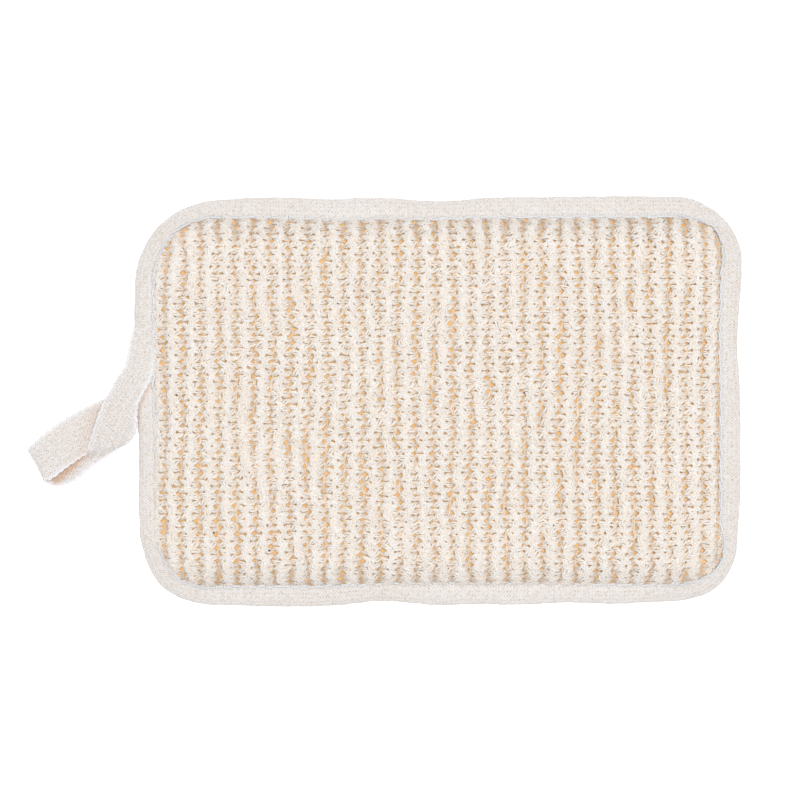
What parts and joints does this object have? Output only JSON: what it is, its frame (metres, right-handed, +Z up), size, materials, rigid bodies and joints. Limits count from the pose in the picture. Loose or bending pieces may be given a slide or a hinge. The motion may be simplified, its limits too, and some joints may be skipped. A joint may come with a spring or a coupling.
{
  "type": "bath scrubbing pad",
  "caption": "Rectangular knitted bath scrubbing pad with a sponge core, tape-bound edge and a hanging loop on one short side.",
  "frame": {"origin": "centre of the flat face of the back panel that the pad rests on", "axes": "+X along the pad's length, away from the hanging loop; +Y across its width; +Z up, out of the front face"},
  "size_m": [0.2568, 0.1476, 0.017],
  "materials": {
    "sponge": "matte",
    "knit": "matte",
    "tape": "matte",
    "thread": "satin"
  },
  "bodies": {
    "pad": {"foam_core": "sponge", "front_knit": "knit", "back_knit": "knit", "edge_binding": "tape", "front_seam_thread": "thread", "back_seam_thread": "thread"},
    "loop": {"hanging_loop": "tape"}
  },
  "joints": [
    {"name": "loop_swing", "type": "hinge", "parent": "pad", "child": "loop", "pos_m": [-0.11095, -0.0015, 0.007], "axis": [0, 1, 0], "range_deg": [-85, 110]}
  ]
}
